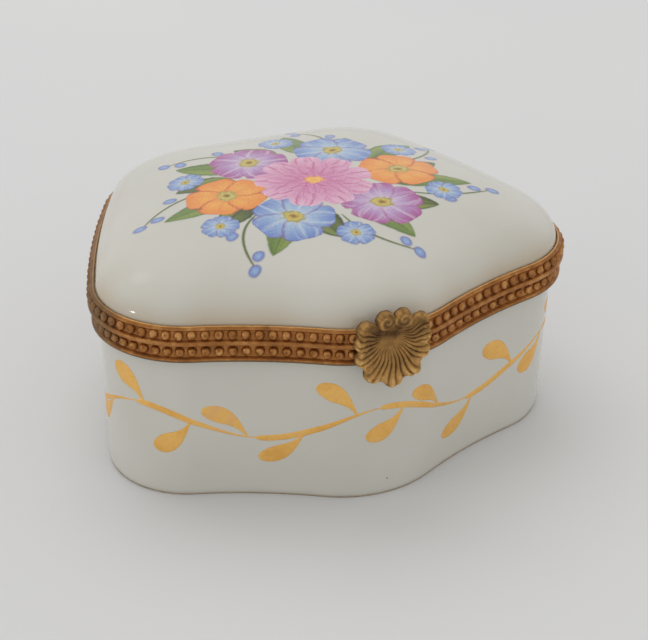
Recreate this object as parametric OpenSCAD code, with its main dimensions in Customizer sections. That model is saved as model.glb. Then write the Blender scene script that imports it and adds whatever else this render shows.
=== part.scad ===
// Hinged porcelain trinket box with beaded brass bands and a shell clasp.
// +X is to the right, +Y is the back with the hinge, +Z is up, in millimetres.

/* [Plan] */
// Radius of the bow at the front, behind the clasp
bow_r = 23.5; // [22:0.5:26]
// How far the bow turns on each side of the middle, in degrees
bow_turn = 30; // [26:1:32]
// Radius of the shallow hollow beside the bow
hollow_r = 92; // [80:1:110]
// How far the hollow turns back, in degrees
hollow_turn = 14; // [10:1:16]
// Radius of the full front corner
corner_r = 18.5; // [17:0.5:20]
// How far the front corner turns, in degrees
corner_turn = 88; // [84:1:90]
// Radius of the long side
side_r = 195; // [160:5:230]
// How far the side turns, in degrees
side_turn = 11; // [9:1:13]
// Radius of the back corner
back_r = 18.5; // [16:0.5:20]

/* [Heights] */
// Height of the lower edge of the base's band
band_z = 28.4; // [23:0.2:35]
// Height of each band
band_h = 3.4; // [3.4:0.1:4.6]
// Rise of the lid's dome above its band
dome_h = 11.3; // [9.5:0.1:14]

/* [Porcelain] */
// Thickness of the porcelain wall
wall = 2.6; // [2.2:0.1:3]
// Thickness of the base's floor
floor_t = 2.6; // [2:0.1:4]
// Depth of the recess under the floor, inside the foot rim
recess = 1; // [0.6:0.1:1.4]
// How far the base sits in from the lid all round
base_in = 0.5; // [0:0.1:0.7]

/* [Bands] */
// Thickness of the brass sheet
sheet = 0.5; // [0.45:0.05:0.6]
// Diameter of one bead
bead_d = 1.8; // [1.6:0.1:1.8]
// Distance from one bead to the next along the band
bead_pitch = 2.3; // [2.2:0.1:3]

/* [Clasp] */
// Width of the shell
shell_w = 14; // [12:0.5:15]
// Height of the shell
shell_h = 15; // [13:0.5:16]
// How far the clasp sits off the middle, as it is soldered on by hand
clasp_x = -1; // [-1.5:0.5:1.5]
// Number of ribs across the shell
shell_ribs = 11; // [7:2:15]

/* [Hinge] */
// Length of the hinge
hinge_l = 24; // [18:1:30]
// Radius of a knuckle
knuckle_r = 1.25; // [1.2:0.05:1.3]
// Radius of the hinge pin
pin_r = 0.6; // [0.5:0.05:0.7]

/* [Hidden] */
$fn = 48;

// Insets from the lid's outermost outline, which its beads reach. The base's parts lie base_in deeper.
edge_in = 0.1;                           // the plain edges, just inside the beads
face_in = bead_d / 2;                    // outer face of the brass sheet
fine_in = face_in - 0.35;                // the fine lips
bed_in = face_in + sheet;                // inner face of the sheet, where the cement begins
bed_t = 0.25;                            // thickness of the cement behind the sheet
porcelain_in = bed_in + bed_t;           // outside of the porcelain
lip_in = bed_in + 0.1;                   // inner edge of a lip, which just covers the cement
mouth_in = porcelain_in + wall;          // inside of the porcelain
cap_t = 0.2;                             // thickness of the cement on the porcelain's rim
leg_in = mouth_in + cap_t;               // outer face of the channel's inner leg
clear_in = leg_in + sheet;               // free mouth inside the bands

// Heights
base_lip_h = 0.9;                        // height of the base band's lower lip
lid_lip_h = 0.5;                         // height of the lid band's fine upper lip
fillet_h = 0.8;                          // height of the lid band's plain edge at the seam
leg_h = 2;                               // height of the channel's inner leg
seam_gap = 0.1;                          // space between the two bands when shut
seam_z = band_z + band_h;
lid_z = seam_z + seam_gap;
top_z = lid_z + band_h;
rim_z = seam_z - sheet - cap_t;          // top of the base's porcelain
lid_rim_z = lid_z + sheet + cap_t;       // lower edge of the lid's porcelain
base_bead_z = seam_z - sheet - bead_d / 2 - 0.05;
lid_bead_z = top_z - lid_lip_h - bead_d / 2 - 0.1;
foot_in = 0.8;                           // how far the foot rim sits in from the wall
foot_w = 3;                              // width of the foot rim

// Stretches of half the outline from the front: [radius, turn, chords], hollow if the turn is minus
back_turn = 180 - bow_turn + hollow_turn - corner_turn - side_turn;
stretches = [[bow_r, bow_turn, 6], [hollow_r, -hollow_turn, 4], [corner_r, corner_turn, 14],
             [side_r, side_turn, 4], [back_r, back_turn, 10]];

// Points of the stretches from number i on, which start at a point with a heading
function walk(i, start, heading, inset) =
    i == len(stretches) ? [] :
    let (turn = stretches[i][1], chords = stretches[i][2],
         r = sign(turn) * stretches[i][0] - inset,
         points = [for (k = [1:chords]) let (a = heading + turn * k / chords)
                   start + r * [sin(a) - sin(heading), cos(heading) - cos(a)]])
    concat(points, walk(i + 1, points[chords - 1], heading + turn, inset));

// Half the outline, from the middle of the front to the back corner
function half(inset) = concat([[0, inset]], walk(0, [0, inset], 0, inset));

knuckle_gap = 0.15;                      // between a knuckle and the lid band's edge
depth = half(0)[len(half(0)) - 1][1];
shell_t = 2.2;                           // thickness of the shell
shell_gap = 0.55;                        // between the lid's outline and the shell, where the tongue is
front_y = -(depth + 2 * knuckle_r + knuckle_gap - shell_t - shell_gap) / 2;
back_y = front_y + depth;
hinge_y = back_y + knuckle_gap + knuckle_r;
hinge_z = (seam_z + lid_z) / 2;

// The whole outline, inset from the outermost one
function outline(inset) =
    let (right = half(inset), last = len(right) - 1)
    [for (p = concat(right, [for (k = [last:-1:1]) [-right[k][0], right[k][1]]]))
     p + [0, front_y]];

module plate(z, h, inset) {
    translate([0, 0, z]) linear_extrude(h) polygon(outline(inset));
}

module ring(z, h, outer, inner) {
    translate([0, 0, z]) linear_extrude(h) difference() {
        polygon(outline(outer));
        polygon(outline(inner));
    }
}

// Porcelain base: wall, floor, and a foot rim round a shallow recess
module base_bowl() {
    wall_in = base_in + porcelain_in;
    color("ivory") {
        ring(0, recess, wall_in + foot_in, wall_in + foot_in + foot_w);
        plate(recess, floor_t, wall_in);
        ring(recess + floor_t, rim_z - recess - floor_t, wall_in, wall_in + wall);
    }
}

// Rings of the dome: the outline drawn in towards dome_mid while it rises
dome_steps = 14;
dome_mid = [0, -1];
dome_n = 2.7;                            // how flat the crown is
dome_m = 2.05;                           // how full the shoulder is
spring_h = 0.5;                          // the dome springs this far below the lid band's top
function dome_ring(inset, rise, s) =
    [for (p = outline(inset)) let (q = dome_mid + s * (p - dome_mid))
     [q[0], q[1], top_z - spring_h + rise * pow(1 - pow(s, dome_n), 1 / dome_m)]];
function dome_scale(k) = sin(90 * (1 - k / dome_steps));

module lid_dome() {
    n = len(outline(0));
    rise = dome_h + spring_h;
    outer = [for (k = [0:dome_steps - 1]) dome_ring(porcelain_in, rise, dome_scale(k))];
    inner = [for (k = [dome_steps - 1:-1:0]) dome_ring(mouth_in, rise - wall, dome_scale(k))];
    low_outer = [for (p = outline(porcelain_in)) [p[0], p[1], lid_rim_z]];
    low_inner = [for (p = outline(mouth_in)) [p[0], p[1], lid_rim_z]];
    outer_tip = [dome_mid[0], dome_mid[1], top_z + dome_h];
    inner_tip = [dome_mid[0], dome_mid[1], top_z + dome_h - wall];
    skin = concat([low_outer], outer);
    lining = concat(inner, [low_inner]);
    rings = concat(skin, lining);
    tips = len(rings) * n;
    side = function (a, b, j) let (k = (j + 1) % n)
        [[a * n + j, b * n + j, b * n + k], [a * n + j, b * n + k, a * n + k]];
    last = len(rings) - 1;
    shell = [for (i = [0:len(skin) - 2], j = [0:n - 1], f = side(i, i + 1, j)) f];
    cap = [for (j = [0:n - 1]) [(len(skin) - 1) * n + j, tips, (len(skin) - 1) * n + (j + 1) % n]];
    vault = [for (j = [0:n - 1]) [len(skin) * n + j, len(skin) * n + (j + 1) % n, tips + 1]];
    inside = [for (i = [len(skin):last - 1], j = [0:n - 1], f = side(i, i + 1, j)) f];
    rim = [for (j = [0:n - 1], f = side(last, 0, j)) f];
    color("ivory") polyhedron(concat([for (r = rings, p = r) p], [outer_tip, inner_tip]),
                              concat(shell, cap, vault, inside, rim));
}

// A brass channel, set in from the lid's outline: the sheet with a lip where it meets the
// porcelain's outside, an edge at the seam, a web over the porcelain's rim and a short inner leg.
// The base's seam is on top, and the lid's band is such a channel upside down.
module channel(set_in, lip_h, lip_out, edge_h, edge_out) {
    difference() {
        union() {
            ring(0, band_h, set_in + face_in, set_in + bed_in);
            ring(0, lip_h, set_in + lip_out, set_in + lip_in);
            ring(band_h - edge_h, edge_h, set_in + edge_out, set_in + bed_in);
            ring(band_h - sheet, sheet, set_in + face_in, set_in + clear_in);
            ring(band_h - leg_h, leg_h, set_in + leg_in, set_in + clear_in);
        }
        hinge_notch(set_in);
    }
}

// The band's lips stop where a hinge leaf is soldered to its sheet
leaf_gap = 0.2;
module hinge_notch(set_in) {
    translate([-hinge_l / 2 - leaf_gap, back_y - set_in - face_in, -1])
        cube([hinge_l + 2 * leaf_gap, set_in + face_in + 1, band_h + 2]);
}

module base_band() {
    color("peru") translate([0, 0, band_z]) channel(base_in, base_lip_h, edge_in, sheet, fine_in);
}

module lid_band() {
    color("peru") translate([0, 0, top_z]) mirror([0, 0, 1])
        channel(0, lid_lip_h, fine_in, fillet_h, edge_in);
}

// Cement between a band and the porcelain, and on the porcelain's rim
module bedding(set_in, z, h, cap_z) {
    ring(z, h, set_in + bed_in, set_in + porcelain_in);
    ring(cap_z, cap_t, set_in + porcelain_in, set_in + mouth_in);
}

module base_bedding() {
    color("linen") bedding(base_in, band_z + base_lip_h, band_h - base_lip_h - sheet, rim_z);
}

module lid_bedding() {
    color("linen") bedding(0, lid_z + sheet, band_h - lid_lip_h - sheet, lid_z + sheet);
}

// Places one child every bead_pitch along a sheet's face, clear of the clasp and the hinge
leaf_clear = 1.4;                        // from the last bead's middle to the hinge leaf
module along_face(set_in, clasp_clear) {
    path = half(set_in + face_in);
    steps = [for (k = [1:len(path) - 1]) norm(path[k] - path[k - 1])];
    function run(k) = k == 0 ? 0 : run(k - 1) + steps[k - 1];
    total = run(len(path) - 1) + path[len(path) - 1][0] - hinge_l / 2 - leaf_clear;
    count = floor((total - clasp_clear) / bead_pitch);
    for (i = [0:count], side = [-1, 1]) {
        s = clasp_clear + i * bead_pitch;
        k = max([for (j = [0:len(path) - 1]) run(j) <= s ? j : 0]);
        on_back = k == len(path) - 1;
        way = on_back ? [-1, 0] : (path[k + 1] - path[k]) / steps[k];
        p = path[k] + way * (s - run(k));
        translate([side * p[0], p[1] + front_y, 0])
            rotate([0, 0, atan2(way[1], side * way[0])]) mirror([0, side < 0 ? 1 : 0, 0]) children();
    }
}

// A half bead, which lies flat against the sheet on its +Y side
module bead() {
    off_sheet = 0.04;
    intersection() {
        sphere(d = bead_d);
        translate([-bead_d, -bead_d - off_sheet, -bead_d]) cube([2 * bead_d, bead_d, 2 * bead_d]);
    }
}

module base_beading() {
    color("sienna") translate([0, 0, base_bead_z]) along_face(base_in, tongue_w) bead();
}

module lid_beading() {
    color("sienna") translate([0, 0, lid_bead_z]) along_face(0, tongue_w) bead();
}

// Round-headed peg on the front of the base's band, which the clasp's tongue holds on
module catch_stud() {
    stud_r = 0.8;
    stud_l = base_in + face_in + 0.05;
    round_back = 0.2;                    // the middle of the head's round is this far behind the peg
    color("peru") translate([clasp_x, front_y + base_in + face_in, base_bead_z]) rotate([90, 0, 0])
        intersection() {
            cylinder(h = stud_l, r = stud_r);
            translate([0, 0, -round_back]) sphere(r = stud_l + round_back);
        }
}

// Spring strip behind the shell, soldered to the lid's band by the pad at its back
tongue_w = 5;
tongue_t = shell_gap - 0.2;
module clasp_tongue() {
    ends = 0.5;                          // the strip stops this far inside the bands' height
    side = 0.3;                          // and the pad this far inside the strip's width
    pad_gap = 0.1;                       // the pad keeps this far from the band's two lips
    color("goldenrod") {
        translate([clasp_x - tongue_w / 2, front_y - shell_gap, band_z + ends])
            cube([tongue_w, tongue_t, top_z - band_z - 2 * ends]);
        translate([clasp_x - tongue_w / 2 + side, front_y - shell_gap + tongue_t, lid_z + fillet_h + pad_gap])
            cube([tongue_w - 2 * side, shell_gap - tongue_t + face_in,
                  band_h - fillet_h - lid_lip_h - 2 * pad_gap]);
    }
}

// Outline of the scallop: ribs fan out downwards from a hub, and each ends in a small lobe
shell_z = seam_z + 0.6;                  // middle of the shell
shell_hub = 0.16 * shell_h;              // height of the hub above the shell's middle
shell_span = 112;                        // how far the fan opens to each side, in degrees
lobe = 0.05;                             // depth of the lobes, as a share of the reach
function shell_edge(a) =
    let (reach = shell_w / 2 + (shell_h / 2 + shell_hub - shell_w / 2) * pow(cos(min(abs(a), 90)), 2))
    reach * (1 - lobe + lobe * abs(cos(90 * shell_ribs * a / shell_span)));
module shell_outline() {
    polygon([for (a = [-shell_span:4:shell_span])
             [shell_edge(a) * sin(a), shell_hub - shell_edge(a) * cos(a)]]);
}

module clasp_shell() {
    bulge_r = 18;
    scroll_r = 1.9;
    scroll_x = 2.6;
    scroll_t = 0.8 * shell_t;
    color("darkgoldenrod") translate([clasp_x, front_y - shell_gap, shell_z]) rotate([90, 0, 0]) {
        intersection() {
            linear_extrude(shell_t) shell_outline();
            translate([0, 0, shell_t - bulge_r]) sphere(r = bulge_r, $fn = 96);
        }
        for (side = [-1, 1])
            translate([side * scroll_x, shell_h / 2 - scroll_r, 0]) cylinder(h = scroll_t, r = scroll_r);
    }
}

// One hinge leaf, seen as the base's: a plate on the band's sheet with knuckles rolled out of it.
// The lid's leaf is the same thing upside down with the knuckles in between.
knuckles = 5;
knuckle_l = hinge_l / knuckles;
end_gap = 0.06;                          // at each end of a knuckle
pin_gap = 0.05;                          // between the pin and a knuckle, all round
web_h = 1;                               // height of the web between the plate and a knuckle
module hinge_leaf(set_in, first) {
    plate_h = band_h - 0.3;
    face_y = back_y - set_in - face_in;
    difference() {
        union() {
            translate([-hinge_l / 2, face_y, hinge_z - seam_gap - plate_h])
                cube([hinge_l, face_in - edge_in, plate_h]);
            for (k = [first:2:knuckles - 1])
                translate([-hinge_l / 2 + k * knuckle_l + end_gap, hinge_y, hinge_z]) {
                    rotate([0, 90, 0]) cylinder(h = knuckle_l - 2 * end_gap, r = knuckle_r);
                    translate([0, face_y + face_in - edge_in - hinge_y, -web_h])
                        cube([knuckle_l - 2 * end_gap, hinge_y - face_y - face_in + edge_in, web_h]);
                }
        }
        translate([-hinge_l, hinge_y, hinge_z]) rotate([0, 90, 0])
            cylinder(h = 2 * hinge_l, r = pin_r + pin_gap);
    }
}

module hinge_leaf_base() {
    color("peru") hinge_leaf(base_in, 0);
}

module hinge_leaf_lid() {
    color("peru") translate([0, 0, 2 * hinge_z]) mirror([0, 0, 1]) hinge_leaf(0, 1);
}

// Hinge pin with a peened head at each end
module hinge_pin() {
    head_t = 0.4;
    head_r = 0.95;
    color("sienna") translate([0, hinge_y, hinge_z]) rotate([0, 90, 0]) {
        translate([0, 0, -hinge_l / 2]) cylinder(h = hinge_l, r = pin_r);
        for (side = [-1, 1])
            translate([0, 0, side * (hinge_l + head_t) / 2]) cylinder(h = head_t, r = head_r, center = true);
    }
}

base_bowl();
base_bedding();
base_band();
base_beading();
catch_stud();
hinge_leaf_base();
hinge_pin();
lid_dome();
lid_bedding();
lid_band();
lid_beading();
hinge_leaf_lid();
clasp_shell();
clasp_tongue();
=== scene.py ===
"""Looks of the porcelain trinket box: glazed porcelain, beaded brass bands, shell clasp, hinge,
gold vine and printed posy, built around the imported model. Metres, in the model's frame."""
import math

import bmesh
import bpy
import numpy as np
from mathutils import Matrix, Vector


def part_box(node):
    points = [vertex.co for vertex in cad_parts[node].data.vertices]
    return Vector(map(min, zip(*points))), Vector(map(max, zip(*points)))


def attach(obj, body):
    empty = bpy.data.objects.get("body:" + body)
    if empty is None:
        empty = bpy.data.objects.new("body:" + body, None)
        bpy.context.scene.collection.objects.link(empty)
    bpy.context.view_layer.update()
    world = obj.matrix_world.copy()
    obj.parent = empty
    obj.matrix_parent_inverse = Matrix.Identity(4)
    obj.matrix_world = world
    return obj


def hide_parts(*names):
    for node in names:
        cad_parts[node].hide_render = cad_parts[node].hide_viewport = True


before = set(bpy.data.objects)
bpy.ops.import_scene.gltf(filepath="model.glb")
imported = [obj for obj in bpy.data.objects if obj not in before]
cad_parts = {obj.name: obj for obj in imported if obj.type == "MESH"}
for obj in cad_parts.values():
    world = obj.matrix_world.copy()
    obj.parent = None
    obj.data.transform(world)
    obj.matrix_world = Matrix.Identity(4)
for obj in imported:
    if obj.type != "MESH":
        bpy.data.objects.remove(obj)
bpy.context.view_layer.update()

MM = 0.001
rng = np.random.default_rng(7)

# ---------------------------------------------------------------- sizes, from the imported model
band_low, band_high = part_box("base_band")
lid_low, lid_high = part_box("lid_band")
bowl_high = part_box("base_bowl")[1]
dome_low, dome_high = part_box("lid_dome")
shell_low, shell_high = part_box("clasp_shell")
tongue_low, tongue_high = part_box("clasp_tongue")
pin_low, pin_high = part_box("hinge_pin")
leaf_low, leaf_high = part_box("hinge_leaf_base")
stud_low, stud_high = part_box("catch_stud")

BAND_Z = band_low.z
SEAM_Z = band_high.z
LID_Z = lid_low.z
TOP_Z = lid_high.z
RIM_Z = bowl_high.z
LID_RIM_Z = dome_low.z
LIP = 0.1 * MM                     # the plain edges stand this far inside the outermost outline
FRONT_Y = lid_low.y - LIP
BACK_Y = lid_high.y + LIP
BASE_IN = band_low.x - lid_low.x   # how far the base sits in from the lid
HINGE_Y = (pin_low.y + pin_high.y) / 2
HINGE_Z = (pin_low.z + pin_high.z) / 2

BEAD_R = 0.9 * MM
BEAD_PITCH = 2.3 * MM
BEAD_IN = BEAD_R                   # inset of the bead row's line from the outermost outline
PORCELAIN_IN = 1.65 * MM
WALL = 2.6 * MM
MOUTH_IN = PORCELAIN_IN + WALL
LEG_IN = MOUTH_IN + 0.2 * MM
CLEAR_IN = LEG_IN + 0.5 * MM

# ---------------------------------------------------------------- plan of the box
# Stretches of half the outline from the middle of the front: radius and turn, minus if hollow
BOW, HOLLOW, CORNER, SIDE, BACK = 30, 14, 88, 11, 65
STRETCHES = [(23.5 * MM, math.radians(BOW)), (92 * MM, -math.radians(HOLLOW)),
             (18.5 * MM, math.radians(CORNER)), (195 * MM, math.radians(SIDE)),
             (18.5 * MM, math.radians(BACK))]


def lay_stretches():
    """Start point, heading, distance, signed radius and length of each stretch, and the end."""
    rows = []
    point, heading, done = np.zeros(2), 0.0, 0.0
    for radius, turn in STRETCHES:
        signed = math.copysign(radius, turn)
        rows.append((point, heading, done, signed, radius * abs(turn)))
        after = heading + turn
        step = (math.sin(after) - math.sin(heading), math.cos(heading) - math.cos(after))
        point = point + signed * np.array(step)
        heading = after
        done += radius * abs(turn)
    return rows, point, done


ROWS, STRAIGHT_START, STRAIGHT_AT = lay_stretches()
HALF_LENGTH = STRAIGHT_AT + STRAIGHT_START[0]
LENGTH = 2 * HALF_LENGTH


def plan(s):
    """Points and inward normals of the outermost outline at distances s from the front's middle."""
    s = np.mod(np.atleast_1d(np.asarray(s, float)), LENGTH)
    left = s > HALF_LENGTH
    d = np.where(left, LENGTH - s, s)
    points = np.zeros((len(d), 2))
    heading = np.full(len(d), math.pi)
    for start, h, done, signed, length in ROWS:
        on = d >= done
        a = h + np.clip(d - done, 0, length) / signed
        q = start + signed * np.stack([np.sin(a) - math.sin(h), math.cos(h) - np.cos(a)], 1)
        points[on] = q[on]
        heading[on] = a[on]
    straight = d >= STRAIGHT_AT
    heading[straight] = math.pi
    points[straight] = STRAIGHT_START + np.stack([STRAIGHT_AT - d, 0 * d], 1)[straight]
    normals = np.stack([-np.sin(heading), np.cos(heading)], 1)
    points[left, 0] *= -1
    normals[left, 0] *= -1
    points[:, 1] += FRONT_Y
    return points, normals


# ---------------------------------------------------------------- mesh helpers
def make_mesh(name, verts, faces, material, sharp_angle=None):
    mesh = bpy.data.meshes.new(name)
    mesh.from_pydata([tuple(v) for v in verts], [], [tuple(f) for f in faces])
    mesh.validate()
    mesh.polygons.foreach_set("use_smooth", [True] * len(mesh.polygons))
    obj = bpy.data.objects.new(name, mesh)
    bpy.context.scene.collection.objects.link(obj)
    mesh.materials.append(material)
    if sharp_angle is not None:
        mesh.set_sharp_from_angle(angle=math.radians(sharp_angle))
    return obj


def outward(obj):
    """Turns every face of a closed mesh outward."""
    bm = bmesh.new()
    bm.from_mesh(obj.data)
    bmesh.ops.recalc_face_normals(bm, faces=bm.faces)
    bm.to_mesh(obj.data)
    bm.free()
    return obj


def put_attribute(obj, name, values):
    """Stores one number or one colour for each point."""
    values = np.asarray(values, np.float32)
    kind = "FLOAT" if values.ndim == 1 else "FLOAT_COLOR"
    attribute = obj.data.attributes.new(name, kind, "POINT")
    attribute.data.foreach_set("value" if kind == "FLOAT" else "color", values.ravel())


def grid_faces(rows, columns, closed_rows, closed_columns):
    """Quads of a grid of points, numbered row by row."""
    i, j = np.meshgrid(np.arange(rows - (not closed_rows)),
                       np.arange(columns - (not closed_columns)), indexing="ij")
    i, j = i.ravel(), j.ravel()
    down, right = (i + 1) % rows, (j + 1) % columns
    return np.stack([i * columns + j, i * columns + right,
                     down * columns + right, down * columns + j], 1)


def rounded(corners, radius, steps=3):
    """The corners of a closed profile, each rounded. A corner may state a radius of its own."""
    out = []
    flat = [np.array(c[:2], float) for c in corners]
    for k, corner in enumerate(corners):
        r = corner[2] if len(corner) > 2 else radius
        here, before, after = flat[k], flat[k - 1], flat[(k + 1) % len(flat)]
        a, b = before - here, after - here
        la, lb = np.linalg.norm(a), np.linalg.norm(b)
        r = min(r, 0.45 * la, 0.45 * lb)
        start, end = here + a / la * r, here + b / lb * r
        for t in np.linspace(0, 1, steps + 1):
            out.append((1 - t) ** 2 * start + 2 * t * (1 - t) * here + t * t * end)
    return np.array(out)


# ---------------------------------------------------------------- material helpers
def new_material(name):
    material = bpy.data.materials.new(name)
    material.use_nodes = True
    nodes = material.node_tree.nodes
    nodes.clear()
    shader = nodes.new("ShaderNodeBsdfPrincipled")
    output = nodes.new("ShaderNodeOutputMaterial")
    material.node_tree.links.new(shader.outputs[0], output.inputs[0])
    return material, nodes, material.node_tree.links, shader


def noise(nodes, links, coordinates, scale, detail=3, roughness=0.5):
    node = nodes.new("ShaderNodeTexNoise")
    node.inputs["Scale"].default_value = scale
    node.inputs["Detail"].default_value = detail
    node.inputs["Roughness"].default_value = roughness
    links.new(coordinates, node.inputs["Vector"])
    return node.outputs[0]


def ramp(nodes, links, value, stops):
    """A colour ramp. Stops are (place, colour)."""
    node = nodes.new("ShaderNodeValToRGB")
    elements = node.color_ramp.elements
    while len(elements) < len(stops):
        elements.new(0.5)
    for element, (place, color) in zip(elements, stops):
        element.position = place
        element.color = (*color, 1)
    links.new(value, node.inputs[0])
    return node.outputs[0]


def span(nodes, links, value, low, high, to_low=0.0, to_high=1.0):
    """Value carried from low..high to to_low..to_high, clamped."""
    node = nodes.new("ShaderNodeMapRange")
    for slot_name, number in (("From Min", low), ("From Max", high),
                              ("To Min", to_low), ("To Max", to_high)):
        node.inputs[slot_name].default_value = number
    links.new(value, node.inputs["Value"])
    return node.outputs[0]


def mix(nodes, links, factor, a, b):
    """Mixes two colours; a, b and factor are sockets or plain values."""
    node = nodes.new("ShaderNodeMix")
    node.data_type = "RGBA"
    for socket, given in ((node.inputs[0], factor), (node.inputs[6], a), (node.inputs[7], b)):
        if isinstance(given, bpy.types.NodeSocket):
            links.new(given, socket)
        elif isinstance(given, (int, float)):
            socket.default_value = given
        else:
            socket.default_value = (*given, 1)
    return node.outputs[2]


def attribute(nodes, name, output="Fac"):
    node = nodes.new("ShaderNodeAttribute")
    node.attribute_name = name
    return node.outputs[output]


def bump(nodes, links, height, distance, strength=1.0):
    node = nodes.new("ShaderNodeBump")
    node.inputs["Strength"].default_value = strength
    node.inputs["Distance"].default_value = distance
    links.new(height, node.inputs["Height"])
    return node.outputs[0]


def object_coordinates(nodes):
    return nodes.new("ShaderNodeTexCoord").outputs["Object"]


def screen_to_linear(color):
    """0 to 255 screen values as the shaders' linear values."""
    share = np.asarray(color, float) / 255
    return np.where(share <= 0.04, share / 12.92, ((share + 0.055) / 1.055) ** 2.4)


def linear(r, g, b):
    return tuple(float(c) for c in screen_to_linear((r, g, b)))


# ---------------------------------------------------------------- materials
def porcelain_material(name, painted=False, foot=False):
    """Hard glossy glaze over slightly grey-green white, with faint clouds and pinprick specks."""
    material, nodes, links, shader = new_material(name)
    place = object_coordinates(nodes)
    clouds = noise(nodes, links, place, 45, 2)
    body = ramp(nodes, links, clouds, [(0.3, linear(206, 204, 194)), (0.7, linear(212, 210, 201))])
    speck = nodes.new("ShaderNodeTexVoronoi")
    speck.inputs["Scale"].default_value = 260
    links.new(place, speck.inputs["Vector"])
    near = span(nodes, links, speck.outputs["Distance"], 0.035, 0.075, 1, 0)
    rare = span(nodes, links, noise(nodes, links, place, 90, 1), 0.68, 0.72)
    dots = nodes.new("ShaderNodeMath")
    dots.operation = "MULTIPLY"
    links.new(near, dots.inputs[0])
    links.new(rare, dots.inputs[1])
    body = mix(nodes, links, dots.outputs[0], body, linear(120, 95, 70))
    # Warm brown near the lid's edge: staining together with a painted reflection of the brass band.
    body = mix(nodes, links, attribute(nodes, "stain_and_reflection"), body, linear(188, 162, 122))
    if painted:
        paint = attribute(nodes, "paint", "Color")
        cover = attribute(nodes, "paint", "Alpha")
        grain = span(nodes, links, noise(nodes, links, place, 2600, 2), 0.3, 0.7, 0.90, 1.08)
        shade = nodes.new("ShaderNodeVectorMath")
        shade.operation = "SCALE"
        links.new(paint, shade.inputs[0])
        links.new(grain, shade.inputs["Scale"])
        body = mix(nodes, links, cover, body, shade.outputs[0])
    if foot:
        height = nodes.new("ShaderNodeSeparateXYZ")
        links.new(place, height.inputs[0])
        bare = span(nodes, links, height.outputs["Z"], 0.15 * MM, 0.6 * MM, 1, 0)
        stain_and_reflection = mix(nodes, links, noise(nodes, links, place, 400, 3),
                    linear(190, 175, 150), linear(150, 118, 84))
        body = mix(nodes, links, bare, body, stain_and_reflection)
        links.new(span(nodes, links, bare, 0, 1, 0.1, 0.7), shader.inputs["Roughness"])
    else:
        shader.inputs["Roughness"].default_value = 0.05
    links.new(body, shader.inputs["Base Color"])
    waves = noise(nodes, links, place, 120, 1)
    links.new(bump(nodes, links, waves, 0.03 * MM, 0.35), shader.inputs["Normal"])
    shader.inputs["IOR"].default_value = 1.5
    shader.inputs["Subsurface Weight"].default_value = 0.12
    shader.inputs["Subsurface Radius"].default_value = (1.0, 0.9, 0.8)
    shader.inputs["Subsurface Scale"].default_value = 0.6 * MM
    return material


def brass_material(name, deep, mid, bright, rough=(0.5, 0.34), metal=0.8):
    """Old patinated brass: dark in its recesses and rubbed bright where its per-point brightness attribute
    is 1; on the shell that attribute holds painted shade and painted highlights.
    """
    material, nodes, links, shader = new_material(name)
    place = object_coordinates(nodes)
    wear_and_shade = attribute(nodes, "wear_and_shade")
    blotch = noise(nodes, links, place, 420, 4, 0.6)
    fine = noise(nodes, links, place, 2600, 3, 0.6)
    sum_node = nodes.new("ShaderNodeMath")
    sum_node.operation = "MULTIPLY_ADD"
    links.new(span(nodes, links, blotch, 0.3, 0.7, -0.5, 0.5), sum_node.inputs[0])
    sum_node.inputs[1].default_value = 0.45
    links.new(wear_and_shade, sum_node.inputs[2])
    color = ramp(nodes, links, sum_node.outputs[0],
                 [(0.0, deep), (0.35, tuple((a + b) / 2 for a, b in zip(deep, mid))),
                  (0.62, mid), (1.0, bright)])
    color = mix(nodes, links, span(nodes, links, fine, 0.35, 0.7, 0, 0.35), color,
                tuple(c * 0.6 for c in mid))
    # Grey-brown mixed in: dirt with painted shade on the lid lip's inner edge, and greyer brass low on the
    # base band's lower lip and where the brass faces left.
    color = mix(nodes, links, attribute(nodes, "grey_brown_mix"), color, linear(112, 94, 70))
    links.new(color, shader.inputs["Base Color"])
    links.new(span(nodes, links, sum_node.outputs[0], 0.1, 1, rough[0], rough[1]),
              shader.inputs["Roughness"])
    shader.inputs["Metallic"].default_value = metal
    links.new(bump(nodes, links, fine, 0.03 * MM, 0.7), shader.inputs["Normal"])
    return material


def cement_material():
    """Chalky off-white cement with stained patches."""
    material, nodes, links, shader = new_material("old_cement")
    place = object_coordinates(nodes)
    stains = noise(nodes, links, place, 700, 3, 0.6)
    links.new(ramp(nodes, links, stains, [(0.3, linear(150, 128, 96)), (0.7, linear(206, 192, 162))]),
              shader.inputs["Base Color"])
    shader.inputs["Roughness"].default_value = 0.9
    grit = noise(nodes, links, place, 3000, 3)
    links.new(bump(nodes, links, grit, 0.03 * MM, 0.6), shader.inputs["Normal"])
    return material


def gold_material():
    """Burnished gold on glaze: warm yellow with rosier thin patches and a few pinholes."""
    material, nodes, links, shader = new_material("burnished_gold")
    place = object_coordinates(nodes)
    patches = noise(nodes, links, place, 160, 3, 0.6)
    color = ramp(nodes, links, patches, [(0.3, linear(236, 176, 86)), (0.55, linear(248, 196, 107)),
                                         (0.75, linear(238, 185, 126))])
    brushed = noise(nodes, links, place, 1500, 3, 0.6)
    color = mix(nodes, links, span(nodes, links, brushed, 0.5, 0.75, 0, 0.3), color, linear(216, 152, 72))
    pinholes = span(nodes, links, noise(nodes, links, place, 1300, 1), 0.79, 0.83, 0, 0.6)
    color = mix(nodes, links, pinholes, color, linear(120, 78, 40))
    color = mix(nodes, links, attribute(nodes, "edge"), color, linear(150, 98, 52))
    links.new(color, shader.inputs["Base Color"])
    links.new(span(nodes, links, patches, 0.3, 0.7, 0.34, 0.46), shader.inputs["Roughness"])
    shader.inputs["Metallic"].default_value = 0.55
    links.new(bump(nodes, links, brushed, 0.02 * MM, 0.4), shader.inputs["Normal"])
    return material


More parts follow.
